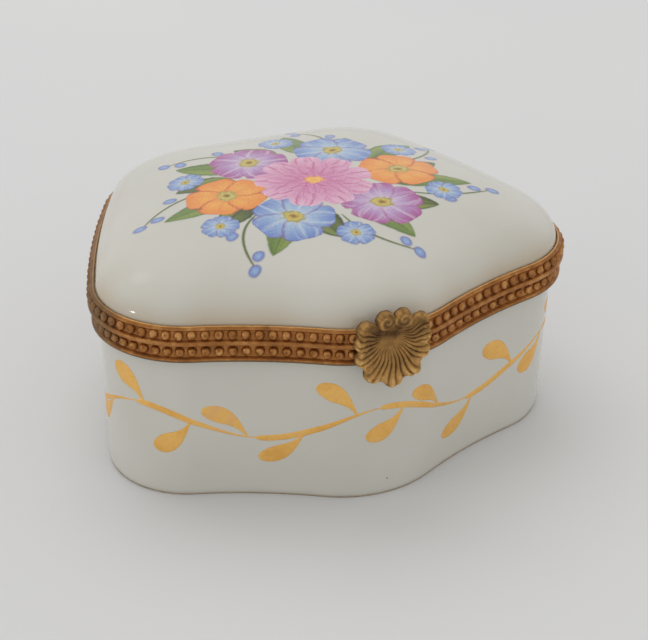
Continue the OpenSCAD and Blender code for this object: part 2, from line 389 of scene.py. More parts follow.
porcelain = porcelain_material("glazed_porcelain", foot=True)
painted_porcelain = porcelain_material("painted_porcelain", painted=True)
band_brass = brass_material("band_brass", linear(80, 46, 20), linear(174, 115, 60), linear(230, 176, 110))
shell_brass = brass_material("shell_brass", linear(84, 56, 28), linear(194, 148, 84),
                             linear(238, 198, 130), rough=(0.66, 0.5), metal=0.6)
hinge_brass = brass_material("hinge_brass", linear(60, 36, 16), linear(146, 100, 52),
                             linear(206, 164, 104), rough=(0.5, 0.32))
cement = cement_material()
gold = gold_material()


# ---------------------------------------------------------------- porcelain
DOME_MID = np.array([0.0, -1 * MM])
DOME_N, DOME_M = 2.7, 2.05         # how flat the crown is, and how full the shoulder
SEGMENTS = 480                     # points round the lid
CROWN_RINGS = 110                  # rings from the lid's edge to its crown
DOME_Z = TOP_Z - 0.5 * MM
DOME_RISE = dome_high.z - DOME_Z


def dome_levels(count, rise):
    """Shares of the way out from the crown and heights, evenly spaced along the dome's section."""
    reach = 42 * MM
    t = np.linspace(0, math.pi / 2, 4000)
    share = np.sin(t) ** (2 / DOME_N)
    height = rise * np.cos(t) ** (2 / DOME_M)
    run = np.concatenate([[0], np.cumsum(np.hypot(np.diff(share) * reach, np.diff(height)))])
    even = np.linspace(0, run[-1], count + 1)[1:]
    return np.interp(even, run, share), np.interp(even, run, height)


def outline_ring(inset, z, count, share=1.0):
    points, normals = plan(np.linspace(0, LENGTH, count, endpoint=False))
    flat = DOME_MID + share * (points + normals * inset - DOME_MID)
    return np.column_stack([flat, np.full(count, z)])


def closed_loft(name, rings, first_tip, last_tip, material):
    """A closed solid through rings of equally many points, with a point at each end."""
    count = len(rings[0])
    verts = np.concatenate([np.concatenate(rings), [first_tip, last_tip]])
    faces = [tuple(f) for f in grid_faces(len(rings), count, False, True)]
    first, last, start = len(verts) - 2, len(verts) - 1, (len(rings) - 1) * count
    for j in range(count):
        k = (j + 1) % count
        faces.append((first, k, j))
        faces.append((last, start + j, start + k))
    return outward(make_mesh(name, verts, faces, material))


def make_lid():
    crown, height = dome_levels(CROWN_RINGS, DOME_RISE)
    rings = [outline_ring(PORCELAIN_IN, DOME_Z + h, SEGMENTS, s) for s, h in zip(crown, height)]
    for inset, z in ((0, LID_RIM_Z + 0.3 * MM), (0.3 * MM, LID_RIM_Z),
                     (WALL - 0.3 * MM, LID_RIM_Z), (WALL, LID_RIM_Z + 0.3 * MM)):
        rings.append(outline_ring(PORCELAIN_IN + inset, z, SEGMENTS))
    share, height = dome_levels(14, DOME_RISE - WALL)
    for s, h in zip(share[::-1], height[::-1]):
        rings.append(outline_ring(MOUTH_IN, DOME_Z + h, SEGMENTS, s))
    tip = (*DOME_MID, DOME_Z + DOME_RISE)
    obj = closed_loft("lid_porcelain", rings, tip, (*DOME_MID, tip[2] - WALL), porcelain)
    # Warm brown near the lid's edge, in patches round it and stronger right against the lip: staining
    # together with a painted reflection of the brass band.
    around = np.linspace(0, 2 * math.pi, SEGMENTS, endpoint=False)
    patches = 0.5 + 0.3 * np.sin(9 * around + 1) + 0.2 * np.sin(23 * around)
    near_band = np.zeros(len(rings))
    near_band[:CROWN_RINGS] = np.clip((crown - 0.84) / 0.16, 0, 1) ** 1.5
    against_lip = np.zeros(len(rings))
    against_lip[:CROWN_RINGS] = np.clip((crown - 0.95) / 0.05, 0, 1) ** 2
    stain_and_reflection = 0.26 * np.outer(near_band, patches) + 0.34 * against_lip[:, None]
    put_attribute(obj, "stain_and_reflection", np.append(stain_and_reflection.ravel(), [0, 0]))
    return obj


def dome_height(x, y):
    """Height of the dome's outside over points in plan, all in metres."""
    points, normals = plan(np.linspace(0, LENGTH, 1500, endpoint=False))
    edge = points + normals * PORCELAIN_IN - DOME_MID
    angle = np.arctan2(edge[:, 1], edge[:, 0])
    order = np.argsort(angle)
    reach = np.interp(np.arctan2(y - DOME_MID[1], x - DOME_MID[0]), angle[order],
                      np.hypot(*edge.T)[order], period=2 * math.pi)
    share = np.clip(np.hypot(x - DOME_MID[0], y - DOME_MID[1]) / reach, 0, 1)
    return DOME_Z + DOME_RISE * (1 - share ** DOME_N) ** (1 / DOME_M)


TAPER = 0.7 * MM                   # how far the wall draws in towards the foot
LEAN = np.array([-0.9, -0.5]) * MM # how far the foot strayed in the kiln, to the left and the front


def wall_inset(z):
    return BASE_IN + PORCELAIN_IN + TAPER * (1 - z / RIM_Z)


def strayed(flat, z):
    """Points in plan moved with the lean of the wall at height z."""
    return flat + LEAN * np.reshape(1 - z / RIM_Z, (-1, 1))


def make_bowl():
    floor_low, floor_high = 1.0 * MM, 3.6 * MM
    outside, mouth = BASE_IN + PORCELAIN_IN, BASE_IN + MOUTH_IN
    foot_out, foot_in = outside + 0.8 * MM, outside + 3.8 * MM
    cove = 4 * MM
    section = [(foot_in + 0.3 * MM, floor_low), (foot_in, floor_low - 0.3 * MM),
               (foot_in - 0.1 * MM, 0.2 * MM), (foot_in - 0.4 * MM, 0.0),
               (foot_out + 0.5 * MM, 0.0), (foot_out + 0.2 * MM, 0.12 * MM)]
    section += [(wall_inset(z) + 0.75 * MM * (1 - math.sin(math.acos(1 - z / (1.7 * MM)))), z)
                for z in np.array([0.3, 0.5, 0.8, 1.1, 1.4, 1.7]) * MM]
    section += [(wall_inset(z), z) for z in np.linspace(3 * MM, RIM_Z - 0.4 * MM, 12)]
    section += [(outside + 0.4 * MM, RIM_Z), (mouth - 0.4 * MM, RIM_Z)]
    section += [(mouth, z) for z in np.linspace(RIM_Z - 0.4 * MM, floor_high + cove, 6)]
    section += [(mouth + cove * (1 - math.cos(a)), floor_high + cove * (1 - math.sin(a)))
                for a in np.linspace(0, math.pi / 2, 8)[1:]]
    rings = []
    for inset, z in section:
        ring = outline_ring(inset, z, 360)
        ring[:, :2] = strayed(ring[:, :2], z)
        rings.append(ring)
    return closed_loft("base_porcelain", rings, (*DOME_MID, floor_low), (*DOME_MID, floor_high),
                       porcelain)


# ---------------------------------------------------------------- brass bands and beads
HINGE_HALF = (leaf_high.x - leaf_low.x) / 2
BAND_STEPS = 900


def left_facing_grey(inward_x):
    """How much grey-brown is mixed into the brass, most where it faces left."""
    return 0.65 * np.clip((inward_x - 0.84) / 0.14, 0, 1)


def make_band(name, set_in, corners, wear_and_shade, material):
    """A stamped band swept round the box, its lips cut away where the hinge leaf is soldered."""
    section = rounded([(i * MM, z, *r) for i, z, *r in corners], 0.12 * MM)
    inset = np.broadcast_to(section[:, 0], (BAND_STEPS, len(section))).copy()
    s = np.linspace(0, LENGTH, BAND_STEPS, endpoint=False)
    at_hinge = np.abs(s - HALF_LENGTH) < HINGE_HALF + 0.2 * MM
    inset[at_hinge] = np.maximum(inset[at_hinge], BEAD_IN)
    points, normals = plan(s)
    flat = points[:, None, :] + normals[:, None, :] * (inset[:, :, None] + set_in)
    height = np.broadcast_to(section[:, 1], inset.shape)[:, :, None]
    verts = np.concatenate([flat, height], 2).reshape(-1, 3)
    obj = outward(make_mesh(name, verts, grid_faces(BAND_STEPS, len(section), True, True),
                            material, sharp_angle=50))
    worn_and_shaded = np.array([wear_and_shade(i / MM, z) for i, z in section])
    put_attribute(obj, "wear_and_shade", np.tile(worn_and_shaded[:, 0], BAND_STEPS))
    put_attribute(obj, "grey_brown_mix", np.maximum(np.tile(worn_and_shaded[:, 1], BAND_STEPS),
                                      np.repeat(left_facing_grey(normals[:, 0]), len(section))))
    return obj


def lid_band_wear_and_shade(inset, z):
    """Rubbing and greying: the fine lip is rubbed bright, and dirt with painted shade darkens its inner edge
    against the porcelain.
    """
    if inset > 1.7:
        return 0.55, 0
    out = min(max((0.9 - inset) / 0.8, 0), 1)
    if z > TOP_Z - 0.14 * MM:
        # The inner edge of the lip's top: dirt with painted shade where it meets the porcelain.
        return 1.0, 0.75 * min(max((inset - 1.35) / 0.15, 0), 1)
    return 0.55 + 0.1 * out, 0


def base_band_wear(inset, z):
    """The lower lip is dull and grey, more so towards its bottom edge."""
    if inset > 1.7:
        return 0.55, 0
    return 0.6, min(max((BAND_Z + 0.5 * MM - z) / (0.2 * MM), 0), 1)


leg_h = 2 * MM
web = 0.5 * MM
clear_in, leg_in, sheet_in, lip_in = CLEAR_IN / MM, LEG_IN / MM, 1.4, 1.5
face = 0.84                        # inset of the stamped strip that the beads stand on


def make_base_band():
    z, t = BAND_Z, SEAM_Z
    corners = [(lip_in, z + 0.1 * MM, 0.05 * MM), (0.5, z, 0.3 * MM), (0.1, z + 0.1 * MM, 0.2 * MM),
               (0.1, z + 0.6 * MM, 0.25 * MM), (face, z + 0.95 * MM), (face, t - 0.5 * MM),
               (0.75, t - 0.35 * MM), (0.7, t, 0.15 * MM), (clear_in, t, 0.15 * MM),
               (clear_in, t - leg_h, 0.15 * MM), (leg_in, t - leg_h, 0.05 * MM),
               (leg_in, t - web, 0.05 * MM), (sheet_in, t - web, 0.05 * MM),
               (sheet_in, z + 0.9 * MM, 0.05 * MM), (lip_in, z + 0.9 * MM, 0.05 * MM)]
    return make_band("base_band_brass", BASE_IN, corners, base_band_wear, band_brass)


def make_lid_band():
    z, t = LID_Z, TOP_Z
    corners = [(lip_in, t - 0.5 * MM, 0.02 * MM), (lip_in, t, 0.15 * MM), (1.2, t, 0.12 * MM),
               (1.14, t - 0.16 * MM, 0.05 * MM), (0.58, t - 0.5 * MM, 0.12 * MM),
               (face, t - 0.7 * MM), (face, z + 1.05 * MM), (0.5, z + 0.9 * MM),
               (0.12, z + 0.72 * MM, 0.2 * MM), (0.1, z, 0.3 * MM), (clear_in, z, 0.15 * MM),
               (clear_in, z + leg_h, 0.15 * MM), (leg_in, z + leg_h, 0.05 * MM),
               (leg_in, z + web, 0.05 * MM), (sheet_in, z + web, 0.05 * MM),
               (sheet_in, t - 0.5 * MM, 0.02 * MM)]
    return make_band("lid_band_brass", 0, corners, lid_band_wear_and_shade, band_brass)


BEAD_START = 5 * MM
BEAD_END = HALF_LENGTH - HINGE_HALF - 1.4 * MM


def bead_template(around=20, levels=12):
    """A flattened bead: points along the row, outward and up, all within one radius."""
    a = np.linspace(0, 2 * math.pi, around, endpoint=False)
    b = np.linspace(-math.pi / 2, math.pi / 2, levels + 1)[1:-1]
    rows = []
    for angle in b:
        r, up = abs(math.cos(angle)) ** 0.85, math.copysign(abs(math.sin(angle)) ** 0.9, angle)
        rows.append(np.column_stack([r * np.cos(a), r * np.sin(a), np.full(around, up)]))
    verts = np.concatenate([np.concatenate(rows), [(0, 0, -1), (0, 0, 1)]])
    faces = [tuple(f) for f in grid_faces(len(b), around, False, True)]
    low, high, top = len(verts) - 2, len(verts) - 1, (len(b) - 1) * around
    faces += [(low, (j + 1) % around, j) for j in range(around)]
    faces += [(high, top + j, top + (j + 1) % around) for j in range(around)]
    return verts, faces


def make_beads(name, z, set_in):
    """The row of beads in a band, each a little different, from the clasp round to the hinge."""
    verts, faces = bead_template()
    per_side = int((BEAD_END - BEAD_START) / BEAD_PITCH) + 1
    s = BEAD_START + BEAD_PITCH * np.arange(per_side)
    s = np.concatenate([s, LENGTH - s])
    points, normals = plan(s)
    all_verts, all_faces, wears = [], [], []
    grey_brown_mix = np.repeat(left_facing_grey(normals[:, 0]), len(verts))
    for point, normal in zip(points, normals):
        size = BEAD_R * rng.uniform(0.96, 1.0, 3)
        along = np.array([normal[1], -normal[0], 0])
        inward = np.array([normal[0], normal[1], 0])
        centre = np.array([*(point + normal * (BEAD_IN + set_in)), z + rng.uniform(-0.03, 0.03) * MM])
        dent_at = rng.uniform(-0.45, 0.45, 2)
        near = np.exp(-((verts[:, 0] - dent_at[0]) ** 2 + (verts[:, 2] - dent_at[1]) ** 2) / 0.08)
        pressed = verts[:, 1:2] + (rng.uniform(0, 0.16) * near * (verts[:, 1] < 0))[:, None]
        shape = (verts[:, :1] * size[0] * along + pressed * size[1] * inward
                 + verts[:, 2:] * size[2] * np.array([0, 0, 1]))
        all_faces += [tuple(i + len(all_verts) * len(verts) for i in f) for f in faces]
        all_verts.append(centre + shape)
        out = -verts[:, 1]
        wears.append(np.clip(0.42 + 0.34 * out - 0.5 * near + rng.uniform(-0.06, 0.06), 0, 1))
    obj = outward(make_mesh(name, np.concatenate(all_verts), all_faces, band_brass))
    put_attribute(obj, "wear_and_shade", np.concatenate(wears))
    put_attribute(obj, "grey_brown_mix", grey_brown_mix)
    return obj


def make_bedding(name, set_in, low, high, inner_edge):
    """Cement between the band and the porcelain, with an uneven edge that shows beside the lip."""
    count = 700
    points, normals = plan(np.linspace(0, LENGTH, count, endpoint=False))
    uneven = rng.normal(0, 1, count)
    for _ in range(3):
        uneven = (uneven + np.roll(uneven, 1) + np.roll(uneven, -1)) / 3
    rows = []
    near, far = set_in + 1.41 * MM, set_in + 1.67 * MM
    for inset, z, moves in ((near, low, low == inner_edge), (far, low, low == inner_edge),
                            (far, high, high == inner_edge), (near, high, high == inner_edge)):
        height = z + (0.05 * MM * uneven if moves else 0)
        rows.append(np.column_stack([points + normals * inset, np.broadcast_to(height, count)]))
    faces = [tuple(f) for f in grid_faces(4, count, True, True)]
    return outward(make_mesh(name, np.concatenate(rows), faces, cement))


# ---------------------------------------------------------------- shell clasp
SHELL_W = shell_high.x - shell_low.x
SHELL_H = shell_high.z - shell_low.z
SHELL_T = shell_high.y - shell_low.y
SHELL_X = (shell_low.x + shell_high.x) / 2
SHELL_Z = (shell_low.z + shell_high.z) / 2
HUB = np.array([0.0, 0.16 * SHELL_H])
FAN = math.radians(112)                # how far the fan opens to each side
LOBE_COUNT, LOBE_R = 9, 0.11 * SHELL_H


def fan_reach(a):
    """How far the fan reaches from the hub at angle a from straight down."""
    longest = SHELL_H / 2 + HUB[1]
    return SHELL_W / 2 + (longest - SHELL_W / 2) * np.cos(np.minimum(np.abs(a), math.pi / 2)) ** 2


def lobe(a):
    """A round lobe at the edge of the fan: its middle and radius."""
    out = fan_reach(a) - LOBE_R
    return HUB[0] + out * math.sin(a), HUB[1] - out * math.cos(a), LOBE_R


LOBES = np.array([lobe(a) for a in np.linspace(-FAN, FAN, LOBE_COUNT)])
SCROLL_R = 0.11 * SHELL_H
SCROLLS = np.array([(side * 0.95 * SCROLL_R, SHELL_H / 2 - SCROLL_R, SCROLL_R) for side in (-1, 1)])
BODY = (0.0, 0.0, 0.36 * SHELL_H)


def reach_to(circle, a):
    """How far a ray from the hub at angle a from straight down runs inside a circle."""
    centre = np.array(circle[:2]) - HUB
    along = centre[0] * np.sin(a) - centre[1] * np.cos(a)
    left_over = circle[2] ** 2 - centre @ centre + along ** 2
    far = along + np.sqrt(np.maximum(left_over, 0))
    return np.where((left_over > 0) & (far > 0), far, 0)


def shell_reach(a):
    fan = 0.9 * fan_reach(a) * np.clip((FAN + math.radians(22) - np.abs(a)) / math.radians(22), 0, 1) ** 0.5
    return np.max([fan] + [reach_to(circle, a) for circle in (BODY, *LOBES, *SCROLLS)], axis=0)


def make_shell():
    """A stamped scallop: grooves fanning from the hub, a frilled rim of lobes, and two scrolls."""
    around, levels = 540, 64
    a = np.linspace(-math.pi, math.pi, around, endpoint=False)
    r = np.linspace(0, 1, levels + 1)[1:] ** 0.9
    angle, share = np.meshgrid(a, r)
    reach = shell_reach(angle)
    u = HUB[0] + reach * share * np.sin(angle)
    v = HUB[1] - reach * share * np.cos(angle)
    fan = np.clip((FAN + math.radians(6) - np.abs(angle)) / math.radians(16), 0, 1)
    curl = angle + 0.5 * np.sin(angle) * (1 - share) + 0.04 * np.sin(9 * share + 2 * angle)
    grooves = np.abs(np.cos(curl / math.radians(5.2) * math.pi / 2))
    grooves = np.exp(-(grooves / 0.45) ** 2) * np.clip(share * 3 - 0.75, 0, 1)
    dish = 0.42 - 0.26 * np.sin(np.clip(share / 0.5, 0, 1) * math.pi) + 0.34 * np.clip(share - 0.3, 0, 1)
    frill = np.zeros_like(u)
    for x, z, radius in LOBES:
        near = np.hypot(u - x, v - z) / radius
        frill = np.maximum(frill, np.sqrt(np.clip(1 - near ** 2, 0, 1)))
    lumps = 0.5 + 0.5 * np.sin(u / MM * 5.3 + 1.2 * np.sin(v / MM * 3.7)) * np.sin(v / MM * 4.9 + 0.7)
    rim = np.clip((share - 0.72) / 0.2, 0, 1)
    height = dish + 0.2 * frill * rim + 0.14 * lumps * rim - 0.15 * grooves * fan
    # Painted light and shade: darker in the grooves and above the hub, brighter outwards and on the rim's
    # lobes and lumps.
    shade = 0.4 + 0.24 * share + 0.1 * frill * rim + 0.2 * lumps * rim - 0.42 * grooves * fan
    shade = shade - 0.3 * np.clip((v - HUB[1] + 2.2 * MM) / (2.5 * MM), 0, 1)
    for side, (x, z, radius) in zip((-1, 1), SCROLLS):
        du, dv = u - x, v - z
        rho = np.hypot(du, dv) / radius
        turn = np.arctan2(dv, side * du) / (2 * math.pi)
        coil = 0.5 + 0.5 * np.cos(2 * math.pi * (rho * 1.5 + turn))
        boss = np.sqrt(np.clip(1 - (rho / 1.15) ** 2, 0, 1))
        inside = np.clip((1.12 - rho) / 0.2, 0, 1)
        height = height + inside * (0.12 + 0.3 * boss + 0.2 * coil * boss)
        # Painted light and shade on the scrolls: bright along the coil, darker between its turns.
        shade = shade + inside * (0.3 * coil ** 2 - 0.1)
    edge = np.clip((1 - share) / 0.05, 0, 1) ** 0.5
    front = shell_high.y - SHELL_T * np.clip(height * (0.6 + 0.4 * edge), 0.1, 1)
    back = np.minimum(front + 0.32 * SHELL_T, shell_high.y)
    place = np.stack([SHELL_X + u, front, SHELL_Z + v], 2)
    behind = np.stack([SHELL_X + u, back, SHELL_Z + v], 2)
    rings = [place[k] for k in range(levels)] + [behind[k] for k in range(levels - 1, -1, -1)]
    hub_x, hub_z = SHELL_X + HUB[0], SHELL_Z + HUB[1]
    obj = closed_loft("clasp_shell_brass", rings, (hub_x, front[0].mean(), hub_z),
                      (hub_x, back[0].mean(), hub_z), shell_brass)
    shade = np.clip(shade, 0, 1)
    # Stores the painted light and shade for the brass material; the back and the hub's end points are
    # painted dark.
    put_attribute(obj, "wear_and_shade", np.concatenate([shade.ravel(), np.full(shade.size, 0.2), [0.3, 0.2]]))
    return obj


# ---------------------------------------------------------------- small fittings
def rounded_box(low, high, radius, segments=3):
    """A box with rounded edges, as a bmesh."""
    bm = bmesh.new()
    bmesh.ops.create_cube(bm, size=1)
    for v in bm.verts:
        v.co = Vector([(low[k] + high[k]) / 2 + v.co[k] * (high[k] - low[k]) for k in range(3)])
    bmesh.ops.bevel(bm, geom=bm.edges[:], offset=radius, segments=segments, affect="EDGES", profile=0.5)
    return bm


def tube_along_x(x_low, x_high, y, z, section, around=40):
    """A closed turned section of (share along x, radius) points, turned about a line along X."""
    verts, faces = [], []
    for share, radius in section:
        x = x_low + share * (x_high - x_low) if share <= 1 else x_high
        for k in range(around):
            a = 2 * math.pi * k / around
            verts.append((x, y + radius * math.cos(a), z + radius * math.sin(a)))
    return verts, [tuple(f) for f in grid_faces(len(section), around, True, True)]


def join_pieces(name, material, parts, wear_and_shade=0.5):
    """Joins bmeshes and (points, faces) pairs into one object."""
    whole = bmesh.new()
    for part in parts:
        mesh = bpy.data.meshes.new("part")
        if isinstance(part, tuple):
            mesh.from_pydata(part[0], [], part[1])
        else:
            part.to_mesh(mesh)
            part.free()
        whole.from_mesh(mesh)
        bpy.data.meshes.remove(mesh)
    bmesh.ops.recalc_face_normals(whole, faces=whole.faces)
    mesh = bpy.data.meshes.new(name)
    whole.to_mesh(mesh)
    whole.free()
    mesh.polygons.foreach_set("use_smooth", [True] * len(mesh.polygons))
    mesh.set_sharp_from_angle(angle=math.radians(40))
    mesh.materials.append(material)
    obj = bpy.data.objects.new(name, mesh)
    bpy.context.scene.collection.objects.link(obj)
    put_attribute(obj, "wear_and_shade", np.full(len(mesh.vertices), wear_and_shade))
    return obj


KNUCKLES = 5
KNUCKLE_R = 1.25 * MM
KNUCKLE_L = 2 * HINGE_HALF / KNUCKLES


def make_hinge_leaf(name, side, first):
    """A leaf on its band's sheet, with every other knuckle. side is -1 for the base's, 1 for the lid's."""
    near, far = HINGE_Z + side * 0.1 * MM, HINGE_Z + side * 3.15 * MM
    outer_y = BACK_Y - LIP - (BASE_IN if side < 0 else 0)
    parts = [rounded_box((-HINGE_HALF, outer_y - BEAD_IN + LIP, min(near, far)),
                         (HINGE_HALF, outer_y, max(near, far)), 0.15 * MM)]
    edge = 0.12
    section = [(0, 0.68 * MM), (0, KNUCKLE_R - edge * MM), (0.03, KNUCKLE_R), (0.97, KNUCKLE_R),
               (1, KNUCKLE_R - edge * MM), (1, 0.68 * MM)]
    for k in range(first, KNUCKLES, 2):
        low = -HINGE_HALF + k * KNUCKLE_L + 0.06 * MM
        high = low + KNUCKLE_L - 0.12 * MM
        parts.append(tube_along_x(low, high, HINGE_Y, HINGE_Z, section))
        web_far = HINGE_Z + side * 1.0 * MM
        parts.append(rounded_box((low, outer_y - 0.2 * MM, min(HINGE_Z, web_far)),
                                 (high, HINGE_Y - 0.75 * MM, max(HINGE_Z, web_far)), 0.1 * MM, 2))
    return join_pieces(name, hinge_brass, parts, 0.45)


def make_hinge_pin():
    r = (pin_high.z - pin_low.z) / 2
    shaft = 0.6 * MM
    span_x = pin_high.x - pin_low.x
    head = 0.4 * MM / span_x
    section = [(0, 0.05 * MM), (0, r * 0.7), (0.4 * head, r), (head, r), (head, shaft),
               (1 - head, shaft), (1 - head, r), (1 - 0.4 * head, r), (1, r * 0.7), (1, 0.05 * MM)]
    return join_pieces("hinge_pin_brass", hinge_brass,
                       [tube_along_x(pin_low.x, pin_high.x, HINGE_Y, HINGE_Z, section)], 0.6)


def make_tongue():
    sheet_y = tongue_low.y + 0.35 * MM
    strip = rounded_box(tongue_low, (tongue_high.x, sheet_y, tongue_high.z), 0.12 * MM)
    pad_z = TOP_Z - 0.6 * MM
    pad = rounded_box((tongue_low.x + 0.3 * MM, sheet_y - 0.05 * MM, pad_z - 1.9 * MM),
                      (tongue_high.x - 0.3 * MM, tongue_high.y, pad_z), 0.1 * MM)
    return join_pieces("clasp_tongue_brass", hinge_brass, [strip, pad], 0.6)


def make_stud():
    """A peg with a domed head on the front of the base's band."""
    x, z = (stud_low.x + stud_high.x) / 2, (stud_low.z + stud_high.z) / 2
    radius, length = (stud_high.x - stud_low.x) / 2, stud_high.y - stud_low.y
    verts, faces, around = [], [], 32
    section = [(0.0, 0.02), (0.0, 1.0), (0.6, 1.0), (0.8, 0.9), (0.93, 0.66), (1.0, 0.3), (1.0, 0.02)]
    for share, size in section:
        for k in range(around):
            a = 2 * math.pi * k / around
            verts.append((x + radius * size * math.cos(a), stud_high.y - share * length,
                          z + radius * size * math.sin(a)))
    faces = [tuple(f) for f in grid_faces(len(section), around, True, True)]
    return join_pieces("catch_stud_brass", hinge_brass, [(verts, faces)], 0.7)


# ---------------------------------------------------------------- bouquet
def blend(a, b, share):
    """From colour a to colour b, by a share for each point."""
    share = np.asarray(share, float)[..., None]
    return np.asarray(a, float) * (1 - share) + np.asarray(b, float) * share


def along_colors(colors, t):
    """A colour for each t from 0 to 1, through evenly spaced colours."""
    colors = np.asarray(colors, float)
    places = np.linspace(0, 1, len(colors))
    return np.stack([np.interp(t, places, colors[:, k]) for k in range(3)], -1)


def curve_through(points, t):
    """A smooth curve through a few points."""
    points = np.asarray(points, float)
    steps = np.linalg.norm(np.diff(points, axis=0), axis=1)
    at = np.concatenate([[0], np.cumsum(steps)]) / steps.sum()
    degree = min(len(points) - 1, 4)
    return np.stack([np.polyval(np.polyfit(at, points[:, k], degree), t) for k in range(2)], 1)


SOFT_EDGE, STROKE_SOFT_EDGE = 0.35, 0.25   # how softly paint ends, in mm
DISC_RIM = 0.3                         # share of a disc that its rim takes up
GRAIN = 5                              # strength of the print's grain, in screen values
STROKE_STEPS = 19


class Painting:
    """Hand-tinted printed flowers: layers of 0 to 255 screen colours over points in plan, in mm."""

    def __init__(self, x, y):
        self.x, self.y = np.asarray(x, float), np.asarray(y, float)
        self.color = np.zeros((len(self.x), 3))
        self.cover = np.zeros(len(self.x))
        self.speck = np.random.default_rng(11).uniform(-1, 1, len(self.x))
        self.strokes = 0

    def lay(self, color, alpha):
        alpha = np.clip(alpha, 0, 1)
        cover = alpha + self.cover * (1 - alpha)
        share = np.where(cover > 0, alpha / np.maximum(cover, 1e-6), 0)
        self.color = blend(self.color, 0, share) + np.asarray(color) * share[:, None]
        self.cover = cover

    def mottle(self, size, turn=0.0):
        """Soft patches about as wide as size, from -1 to 1."""
        total = 0
        for k in range(5):
            a = turn + 2.4 * k
            along = self.x * math.cos(a) + self.y * math.sin(a)
            total = total + np.sin(along * 3.1 / size * (1 + 0.23 * k) + 1.7 * math.sin(3 * a))
        return total / 5 * 1.6

    def fibres(self, t, v):
        """Brush hairs running along a petal, different on every petal, from -1 to 1."""
        self.strokes += 1
        total = 0
        for k, count in enumerate((2.3, 3.9, 6.1, 9.7)):
            phase = 1.9 * self.strokes * (k + 1)
            total = total + np.sin(math.pi * count * v + phase + 1.3 * np.sin(3 * t + phase)) / (1 + 0.4 * k)
        return total / 2.2

    def petal(self, base, tip, width, colors, bend=0.0, shape=(0.55, 0.4), rim=None, rim_width=0.25,
              hairs=None, ragged=0.03, lit=None, alpha=1.0, soft=SOFT_EDGE):
        """A petal from base to tip. bend bows it sideways, shape says how blunt its ends are,
        hairs is a colour and strength brushed along it, lit a colour on one of its sides."""
        base, tip = np.array(base, float), np.array(tip, float)
        length = np.linalg.norm(tip - base)
        way = (tip - base) / length
        dx, dy = self.x - base[0], self.y - base[1]
        over = (dx * way[0] + dy * way[1]) / length
        t = np.clip(over, 0, 1)
        side = dy * way[0] - dx * way[1] - bend * 4 * t * (1 - t)
        a, b = shape
        peak = a / (a + b)
        half = width / 2 * (t ** a * (1 - t) ** b) / (peak ** a * (1 - peak) ** b)
        half = half * (1 + ragged * (self.mottle(1.2, base[0]) + 0.8 * self.speck))
        beyond = np.maximum(np.maximum(-over, over - 1), 0) * length
        room = half - np.abs(side) - 3 * beyond
        inside = np.clip(room / soft + 0.5, 0, 1)
        v = np.clip(side / np.maximum(half, 1e-3), -1, 1)
        color = along_colors(colors, t)
        grain = self.fibres(t, v)
        if lit is not None:
            color = blend(color, lit[0], np.clip(v * lit[1] * 1.2 + 0.2 + 0.25 * grain, 0, 1) * lit[2])
        if hairs is not None:
            color = blend(color, hairs[0], np.clip(grain + 0.1, 0, 1) * hairs[1] * np.clip(t * 2.2, 0, 1))
        if rim is not None:
            edge = np.clip(1 - room / (rim_width * width / 2), 0, 1) ** 1.2
            edge = edge * np.clip(0.75 + 0.45 * grain + 0.3 * self.speck, 0, 1) * np.clip(t * 3, 0, 1)
            color = blend(color, rim, edge)
        self.lay(color + GRAIN * self.speck[:, None], inside * alpha)

    def disc(self, centre, radii, tilt, inner, outer, rim=None, ragged=0.03):
        """An oval shaded from its middle out, with a darker or brighter rim if asked."""
        dx, dy = self.x - centre[0], self.y - centre[1]
        c, s = math.cos(math.radians(tilt)), math.sin(math.radians(tilt))
        u, w = (dx * c + dy * s) / radii[0], (dy * c - dx * s) / radii[1]
        r = np.hypot(u, w) * (1 + ragged * (self.mottle(1.1, centre[0]) + 0.8 * self.speck))
        inside = np.clip((1 - r) * min(radii) / SOFT_EDGE + 0.5, 0, 1)
        color = blend(inner, outer, np.clip(r, 0, 1) ** 1.4)
        if rim is not None:
            edge = np.clip((r - 1 + DISC_RIM) / DISC_RIM, 0, 1)
            color = blend(color, rim, edge * np.clip(0.8 + 0.4 * self.speck, 0, 1))
        self.lay(color + GRAIN * self.speck[:, None], inside)

    def ribbon(self, points, width, colors):
        """A brush stroke through points, thin at its ends."""
        path = curve_through(points, np.linspace(0, 1, STROKE_STEPS + 1))
        best, at = np.full(len(self.x), 1e9), np.zeros(len(self.x))
        for k, (a, b) in enumerate(zip(path[:-1], path[1:])):
            way, dx, dy = b - a, self.x - a[0], self.y - a[1]
            t = np.clip((dx * way[0] + dy * way[1]) / (way @ way), 0, 1)
            gap = np.hypot(dx - t * way[0], dy - t * way[1])
            near = gap < best
            best = np.where(near, gap, best)
            at = np.where(near, (k + t) / STROKE_STEPS, at)
        half = width / 2 * np.clip(4 * at * (1 - at), 0, 1) ** 0.3
        room = half * (1 + 0.06 * self.speck) - best
        color = along_colors(colors, at)
        self.lay(color + GRAIN * self.speck[:, None], np.clip(room / STROKE_SOFT_EDGE + 0.5, 0, 1))

    def leaf(self, base, tip, width, dark, bright, bend, side):
        """A leaf lit on one side of its midrib."""
        mid = tuple((p + q) / 2 for p, q in zip(dark, bright))
        self.petal(base, tip, width, [dark, mid, mid], bend, (0.55, 0.8), rim=dark, rim_width=0.3,
                   lit=(bright, side, 0.85), hairs=(dark, 0.4))
        self.petal(base, tip, 0.35, [dark, dark], bend, (0.2, 0.5), alpha=0.6, soft=0.3)


